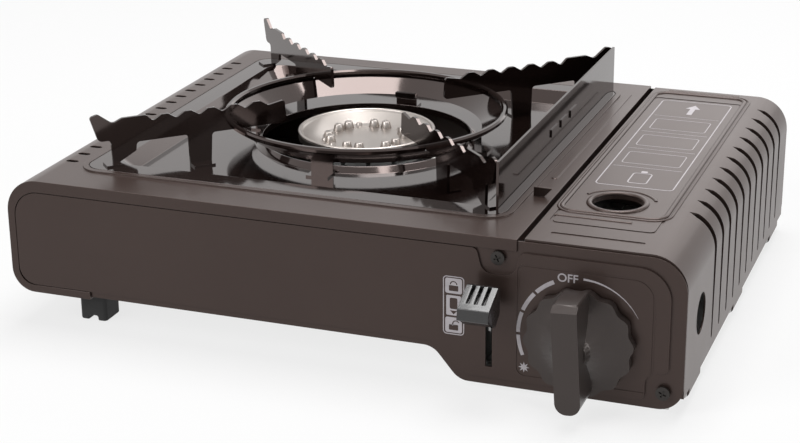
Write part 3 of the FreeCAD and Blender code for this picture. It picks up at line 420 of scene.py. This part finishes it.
def makeDialPrint():
    p = dialPrint
    loops = []
    span = (p["end"] - p["start"]) / p["segments"]
    drop = (p["widths"][1] - p["widths"][0]) / p["segments"]
    for i in range(p["segments"]):
        first = p["start"] + i * span + p["gap"] / 2
        widths = (p["widths"][0] + drop * i, p["widths"][0] + drop * (i + 1))
        loops.append(bandOf(p["centre"], p["radius"], widths, (first, first + span - p["gap"])))
    loops.append(bandOf(p["centre"], p["radius"], p["fadeWidths"], p["fade"]))
    inkShapes("dial_scale", loops, "front", "stove_body")
    inkText("dial_off", "OFF", p["offPlace"], p["offSize"], "front", "stove_body")
    x, z = p["sparkPlace"]
    spark = []
    for i in range(p["sparkPoints"]):
        r = p["sparkRadii"][i % 2]
        angle = math.tau * i / p["sparkPoints"]
        spark.append((x + r * math.cos(angle), z + r * math.sin(angle)))
    inkShapes("dial_spark", [spark], "front", "stove_body")


lockPrint = {
    "box": (58.6, 26.9, 69.0, 56.2), "corner": 1.8, "line": 0.45, "cells": (35.6, 47.6),
    "cellSide": 1.1, "cellEnd": 1.0, "cellCorner": 1.0, "lockHalf": 2.3, "lockHigh": 2.8,
    "lockCorner": 0.4, "lockDrop": 2.6, "bowUp": 3.2, "bowRadius": 1.6, "bowLine": 0.55,
    "bowSteps": 10, "openTurn": 28, "openShift": 24, "midSide": 1.6, "midCorner": 0.6,
    "canHalf": 1.9, "canLow": 4.2, "canTop": 2.2, "canCorner": 0.8, "arrow": (1.5, 3.4, 1.8)}


def makeLockPrint():
    # a shut padlock above and an open one below, with a cartridge and its arrow between them, each
    # left bare in a filled cell
    p = lockPrint
    x0, z0, x1, z1 = p["box"]
    low, high = p["cells"]
    middle = (x0 + x1) / 2
    end = p["cellEnd"]
    loops = frameLoops(x0, z0, x1, z1, p["corner"], p["line"])
    for cellLow, cellHigh, turn in ((high, z1 - end, 0), (z0 + end, low, p["openTurn"])):
        foot = (cellLow + cellHigh) / 2 - p["lockDrop"]
        bow = (middle + turn / p["openShift"], foot + p["bowUp"])
        loops += [
            roundedLoop(x0 + p["cellSide"], cellLow, x1 - p["cellSide"], cellHigh, p["cellCorner"]),
            roundedLoop(middle - p["lockHalf"], foot, middle + p["lockHalf"], foot + p["lockHigh"],
                        p["lockCorner"]),
            bandOf(bow, p["bowRadius"], (p["bowLine"], p["bowLine"]), (turn, 180 + turn),
                   p["bowSteps"])]
    tip, back, half = p["arrow"]
    loops += [
        roundedLoop(x0 + p["midSide"], low + end, x1 - p["midSide"], high - end, p["midCorner"]),
        roundedLoop(middle - p["canHalf"], low + p["canLow"], middle + p["canHalf"],
                    high - p["canTop"], p["canCorner"]),
        [(middle, low + tip), (middle + half, low + back), (middle - half, low + back)]]
    inkShapes("lock_mark", loops, "front", "stove_body")


lidPrint = {
    "box": (106.8, -44.5, 146.0, 107.0), "corner": 3.0, "line": 0.55, "cells": 5, "barInset": 2,
    "bar": 0.35, "can": (-5, -9, 5, 7), "canCorner": 2.2, "canLine": 0.6,
    "neck": (-1.6, 7.6, 1.6, 10.2), "neckCorner": 0.5, "cellSide": 4.5, "cellHalf": 9.5,
    "cellCorner": 2.0, "cellLine": 0.4,
    "arrow": [(-1.4, -9), (1.4, -9), (1.4, 2), (4, 2), (0, 9), (-4, 2), (-1.4, 2)]}


def makeLidPrint():
    # a plain frame with a cartridge outline, empty cells and an arrow
    p = lidPrint
    x0, y0, x1, y1 = p["box"]
    loops = frameLoops(x0, y0, x1, y1, p["corner"], p["line"])
    step = (y1 - y0) / p["cells"]
    left, right = x0 + p["barInset"], x1 - p["barInset"]
    for i in range(1, p["cells"]):
        y = y0 + i * step
        loops.append([(left, y), (right, y), (right, y + p["bar"]), (left, y + p["bar"])])
    middle = (x0 + x1) / 2
    for i in range(p["cells"]):
        y = y0 + (i + 0.5) * step
        if i == 0:
            can, neck = [[middle + box[0], y + box[1], middle + box[2], y + box[3]]
                         for box in (p["can"], p["neck"])]
            loops += frameLoops(*can, p["canCorner"], p["canLine"])
            loops.append(roundedLoop(*neck, p["neckCorner"]))
        elif i == p["cells"] - 1:
            loops.append([(middle + dx, y + dy) for dx, dy in p["arrow"]])
        else:
            loops += frameLoops(x0 + p["cellSide"], y - p["cellHalf"], x1 - p["cellSide"],
                                y + p["cellHalf"], p["cellCorner"], p["cellLine"])
    inkShapes("lid_mark", loops, "lid", "cover")


makeDialPrint()
makeLockPrint()
makeLidPrint()
print("printing laid")


# beads pressed into the lid, and the rolled edge of its finger hole

lidBeads = {
    "outer": (100.5, -86.0, 151.0, 121.0), "corner": 7.0, "cornerSteps": 8, "border": (2.6, 0.75),
    "front": [(101.0, -94.0), (138.0, -94.0)], "rear": [(106.0, 125.5), (146.0, 125.5)],
    "ends": (2.0, 0.5), "rimOut": 2.6, "rimShift": 1, "rim": (1.6, 0.5), "hole": (125.0, -69.0),
    "rollRadius": 13.6, "rollPoints": 64, "roll": (3.0, 1.0), "arcRadius": 18.5,
    "arcTurns": (25, 155), "arcSteps": 24, "arc": (1.8, 0.45), "rounding": 3}


def makeBead(name, loop, closed, size):
    # a half-round rib of the lid's paint along a line
    width, high = size
    obj = curveMesh(name, [loop], closed, dimensions="3D", bevel_depth=width / 2,
                    bevel_resolution=lidBeads["rounding"], use_fill_caps=True)
    obj.scale = (1, 1, high * 2 / width)
    applyPlace(obj)
    layFlat(obj, "lid", -inkLook["lift"])
    bpy.ops.object.shade_smooth()
    return finishPiece(obj, name, "cover", bodyPaint)


def makeLidBeads():
    p = lidBeads
    x0, y0, x1, y1 = p["outer"]
    grow = p["rimOut"]
    border = roundedLoop(x0, y0, x1, y1, p["corner"], p["cornerSteps"])
    rim = roundedLoop(x0 - grow + p["rimShift"], y0 - grow, x1 + grow, y1 + grow,
                      p["corner"] + grow, p["cornerSteps"])
    makeBead("lid_border", border, True, p["border"])
    for end in ("front", "rear"):
        makeBead("lid_bead_" + end, p[end], False, p["ends"])
    makeBead("lid_rim", rim, True, p["rim"])
    x, y = p["hole"]
    first, last = p["arcTurns"]
    ringTurns = [math.tau * i / p["rollPoints"] for i in range(p["rollPoints"])]
    arcTurns = [math.radians(first + (last - first) * i / p["arcSteps"])
                for i in range(p["arcSteps"] + 1)]
    ring, arc = [[(x + radius * math.cos(turn), y + radius * math.sin(turn)) for turn in turns]
                 for radius, turns in ((p["rollRadius"], ringTurns), (p["arcRadius"], arcTurns))]
    makeBead("finger_hole_roll", ring, True, p["roll"])
    makeBead("finger_hole_arc", arc, False, p["arc"])


makeLidBeads()
print("lid beads laid")


# raised burner ports on the cap, and its rolled rim

capPorts = {
    "centre": (-32.0, 4.0), "ring": 20.5, "pairs": 6, "firstTurn": 30, "apart": 7.0, "sides": 20,
    "radius": 3.3, "taper": 0.62, "high": 4.6, "base": 72.9, "hollow": [(0.5, -1.2)],
    "soft": (0.35, 3, 30), "smoothAngle": 40, "rimRadius": 35.9, "rim": 1.1, "rimZ": 77.4,
    "rimFlat": 0.8, "rimSegments": (96, 12)}


def makeCapPorts():
    p = capPorts
    middleX, middleY = p["centre"]
    made = []
    for i in range(p["pairs"]):
        for side in (-1, 1):
            angle = (math.radians(p["firstTurn"] + 360 / p["pairs"] * i)
                     + side * p["apart"] / 2 / p["ring"])
            x = middleX + p["ring"] * math.cos(angle)
            y = middleY + p["ring"] * math.sin(angle)
            place = (x * mm, y * mm + bodyShift, (p["base"] + p["high"] / 2) * mm)
            deselectAll()
            bpy.ops.mesh.primitive_cone_add(
                vertices=p["sides"], radius1=p["radius"] * mm,
                radius2=p["radius"] * p["taper"] * mm, depth=p["high"] * mm, location=place)
            port = applyPlace(bpy.context.object)
            insetTop(port, p["hollow"])
            addBevel(port, *p["soft"])
            made.append(applyModifiers(port))
    ports = joinAll(made)
    bpy.ops.object.shade_smooth_by_angle(angle=math.radians(p["smoothAngle"]))
    finishPiece(ports, "cap_ports", "stove_body", warmStainless)
    deselectAll()
    around, across = p["rimSegments"]
    bpy.ops.mesh.primitive_torus_add(
        major_segments=around, minor_segments=across, major_radius=p["rimRadius"] * mm,
        minor_radius=p["rim"] * mm,
        location=(middleX * mm, middleY * mm + bodyShift, p["rimZ"] * mm))
    rim = bpy.context.object
    rim.scale = (1, 1, p["rimFlat"])
    applyPlace(rim)
    bpy.ops.object.shade_smooth()
    finishPiece(rim, "cap_rim", "stove_body", warmStainless)


makeCapPorts()
print("cap ports set")


# the steel edge that shows in the lever's slot

leverEdge = {"x": 81.3, "thick": 0.9, "soft": 0.12,
             "profile": [(-131.4, 31.0), (-129.0, 30.0), (-129.0, 50.0), (-131.4, 47.5)]}


def makeLeverEdge():
    p = leverEdge
    obj = curveMesh("lever_edge", [p["profile"]], True, dimensions="2D", fill_mode="BOTH",
                    extrude=p["thick"] / 2, bevel_depth=p["soft"])
    obj.scale = (mm, mm, mm)
    obj.rotation_euler = (math.radians(90), 0, math.radians(90))
    obj.location = (p["x"] * mm, bodyShift, 0)
    finishPiece(applyPlace(obj), "lever_edge", "lever", zincSheet)


# cross-recessed screws

screwShape = {
    "sides": 40, "radius": 3.3, "high": 1.25, "dome": [(0.5, 0.0), (0.7, 0.12), (0.9, 0.06)],
    "crossLong": 3.6, "crossWide": 0.75, "crossDeep": 0.8, "soft": (0.12, 2, 35), "smoothAngle": 30,
    "turn": 25.0, "turnStep": 40, "faceY": 132.0, "front": [(85.2, 68.3), (163.9, 12.5)],
    "rear": [(85.2, 68.3), (163.9, 12.5), (-150.0, 26.0)]}


def oneScrew(x, z, outward, turn):
    p = screwShape
    deselectAll()
    bpy.ops.mesh.primitive_cylinder_add(vertices=p["sides"], radius=p["radius"] * mm,
                                        depth=p["high"] * mm)
    head = bpy.context.object
    bpy.ops.object.mode_set(mode="EDIT")
    bpy.ops.mesh.select_all(action="DESELECT")
    bpy.ops.object.mode_set(mode="OBJECT")
    insetTop(head, p["dome"])
    bars = []
    for angle in (0, 90):
        deselectAll()
        bpy.ops.mesh.primitive_cube_add(size=mm, location=(0, 0, p["high"] / 2 * mm))
        bar = bpy.context.object
        bar.scale = (p["crossLong"], p["crossWide"], p["crossDeep"] * 2)
        bar.rotation_euler = (0, 0, math.radians(angle + turn))
        bars.append(applyPlace(bar))
    for bar in bars:
        cutter = head.modifiers.new("cross", "BOOLEAN")
        cutter.object = bar
        cutter.solver = "EXACT"
    addBevel(head, *p["soft"])
    applyModifiers(head)
    for bar in bars:
        bpy.data.objects.remove(bar)
    takeActive(head)
    bpy.ops.object.shade_smooth_by_angle(angle=math.radians(p["smoothAngle"]))
    head.rotation_euler = (math.radians(-90 * outward), 0, 0)
    middleY = (p["faceY"] + p["high"] / 2) * outward
    head.location = (x * mm, middleY * mm + bodyShift, z * mm)
    return applyPlace(head)


def makeScrews(side, outward):
    p = screwShape
    heads = [oneScrew(x, z, outward, p["turn"] + p["turnStep"] * i)
             for i, (x, z) in enumerate(p[side])]
    finishPiece(joinAll(heads), side + "_screw_heads", "stove_body", screwBlack,
                side + "_screws")


makeLeverEdge()
makeScrews("front", -1)
makeScrews("rear", 1)
print("screws set")


# camera, light and floor

view = {"place": (0.32355, -0.89546 + bodyShift, 0.38082), "right": (0.93753, 0.34781, -0.00851),
        "up": (-0.11291, 0.3273, 0.93815), "back": (0.32908, -0.87858, 0.34613), "lens": 84.605,
        "sensor": 36, "nearest": 0.01}


def makeCamera():
    camera = bpy.data.objects.new("camera", bpy.data.cameras.new("camera"))
    bpy.context.collection.objects.link(camera)
    turn = Matrix((view["right"], view["up"], view["back"])).transposed()
    camera.matrix_world = Matrix.Translation(view["place"]) @ turn.to_4x4()
    camera.data.lens = view["lens"]
    camera.data.sensor_width = view["sensor"]
    camera.data.clip_start = view["nearest"]
    bpy.context.scene.camera = camera


lamps = [
    {"name": "topSoft", "place": (0.1, 0.3, 1.6), "size": 1.0, "power": 27, "aim": (0, 0, 0.05)},
    {"name": "frontSoft", "place": (-1.0, -1.5, 1.1), "size": 1.0, "power": 19, "aim": (0, 0, 0.05)},
    {"name": "rightSoft", "place": (1.9, 0.2, 0.6), "size": 0.8, "power": 7, "aim": (0.1, 0, 0.05)},
    {"name": "backStrip", "place": (0.2, 2.6, 1.3), "size": 1.6, "power": 7, "aim": (0, 0, 0.05)}]


def makeLamps():
    for lamp in lamps:
        deselectAll()
        bpy.ops.object.light_add(type="AREA", location=lamp["place"])
        light = bpy.context.object
        light.name = lamp["name"]
        light.data.energy = lamp["power"]
        light.data.size = lamp["size"]
        way = Vector(lamp["aim"]) - Vector(lamp["place"])
        light.rotation_euler = way.to_track_quat("-Z", "Y").to_euler()


surround = {"white": 1.0, "unseen": 0.22, "floorSide": 12, "floorZ": -0.0002,
            "floorColour": (0.70, 0.70, 0.70, 1), "floorRoughness": 0.9, "floorGlow": 0.76}


def surroundRays(tree, shown):
    # the value shown for camera, mirror and see-through rays, so that metal and glass show the
    # white as well, and 0 for the rest
    path = addNode(tree, "ShaderNodeLightPath")
    mirrored = addNode(tree, "ShaderNodeMath", "MAXIMUM")
    seen = addNode(tree, "ShaderNodeMath", "MAXIMUM")
    scaled = addNode(tree, "ShaderNodeMath", "MULTIPLY", {1: shown})
    linkAll(tree, [
        (path.outputs["Is Glossy Ray"], mirrored.inputs[0]),
        (path.outputs["Is Transmission Ray"], mirrored.inputs[1]),
        (path.outputs["Is Camera Ray"], seen.inputs[0]),
        (mirrored.outputs[0], seen.inputs[1]),
        (seen.outputs[0], scaled.inputs[0])])
    return scaled.outputs[0]


def makeWorld():
    world = bpy.data.worlds.new("studio")
    bpy.context.scene.world = world
    world.use_nodes = True
    tree = world.node_tree
    background = tree.nodes["Background"]
    background.inputs["Color"].default_value = (1, 1, 1, 1)
    strength = addNode(tree, "ShaderNodeMapRange",
                       inputs={"To Min": surround["unseen"], "To Max": surround["white"]})
    linkAll(tree, [
        (surroundRays(tree, 1.0), strength.inputs["Value"]),
        (strength.outputs["Result"], background.inputs["Strength"])])


def makeFloor():
    deselectAll()
    bpy.ops.mesh.primitive_plane_add(size=surround["floorSide"], location=(0, 0, surround["floorZ"]))
    floor = bpy.context.object
    floor.name = "floor"
    material = bpy.data.materials.new("floorWhite")
    material.use_nodes = True
    tree = material.node_tree
    shader = tree.nodes["Principled BSDF"]
    shader.inputs["Base Color"].default_value = surround["floorColour"]
    shader.inputs["Roughness"].default_value = surround["floorRoughness"]
    glow = addNode(tree, "ShaderNodeEmission")
    mix = addNode(tree, "ShaderNodeMixShader")
    linkAll(tree, [
        (surroundRays(tree, surround["floorGlow"]), mix.inputs["Fac"]),
        (shader.outputs[0], mix.inputs[1]),
        (glow.outputs[0], mix.inputs[2]),
        (mix.outputs[0], tree.nodes["Material Output"].inputs["Surface"])])
    floor.data.materials.append(material)


makeCamera()
makeLamps()
makeWorld()
makeFloor()
bpy.context.scene.view_settings.view_transform = "Standard"
print("stage ready")
